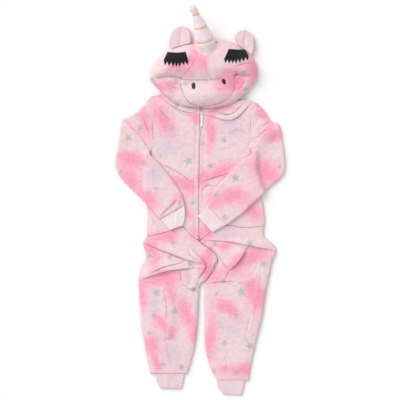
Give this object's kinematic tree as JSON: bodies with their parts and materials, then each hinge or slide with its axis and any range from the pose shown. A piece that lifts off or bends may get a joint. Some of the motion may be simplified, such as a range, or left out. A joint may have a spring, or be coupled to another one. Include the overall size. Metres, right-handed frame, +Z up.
{
  "type": "child's hooded unicorn jumpsuit laid flat",
  "caption": "Child's plush fleece jumpsuit with a unicorn hood, zipped up and laid flat on its back with its sleeves folded over the front.",
  "frame": {"origin": "centre of the base of the bounding box, on the surface that the garment lies on", "axes": "+Y from the ankles to the hood, +X to the viewer's right when seen from above, +Z up out of the surface"},
  "size_m": [0.442, 1.0144, 0.0868],
  "materials": {
    "printed_fleece": "plush coral fleece, tie-dyed in pink and white with grey stars",
    "plain_plush": "short plush, pale pink",
    "horn_plush": "stuffed short velour, pale lilac, wound with gold thread",
    "cuff_rib": "ribbed knit, pale pink",
    "black_felt": "matt black felt and stitching",
    "zip_tape": "woven polyester tape, white",
    "zip_metal": "die-cast, lacquered pale grey"
  },
  "bodies": {
    "garment": {"torso_back": "printed_fleece", "leg_back_left": "printed_fleece", "leg_back_right": "printed_fleece", "front_left": "printed_fleece", "front_right": "printed_fleece", "leg_front_left": "printed_fleece", "leg_front_right": "printed_fleece", "sleeve_left": "printed_fleece", "sleeve_right": "printed_fleece", "cuff_left": "cuff_rib", "cuff_right": "cuff_rib", "ankle_cuff_left": "cuff_rib", "ankle_cuff_right": "cuff_rib", "hood_back": "printed_fleece", "hood_core": "printed_fleece", "hood_side_left": "printed_fleece", "hood_side_right": "printed_fleece", "hood_bridge": "printed_fleece", "muzzle": "printed_fleece", "horn": "horn_plush", "ear_left_back": "printed_fleece", "ear_left_inner": "plain_plush", "ear_right_back": "printed_fleece", "ear_right_inner": "plain_plush", "eyelash_left": "black_felt", "eyelash_right": "black_felt", "nostril_left": "black_felt", "nostril_right": "black_felt", "zip_tape_left": "zip_tape", "zip_tape_right": "zip_tape", "zip_slider": "zip_metal"},
    "pull_tab": {"zip_pull_tab": "zip_metal"}
  },
  "joints": [
    {"name": "tab_hinge", "type": "hinge", "parent": "garment", "child": "pull_tab", "pos_m": [0.0034, 0.224, 0.0101], "axis": [-1, 0, 0], "range_deg": [0, 105]}
  ]
}
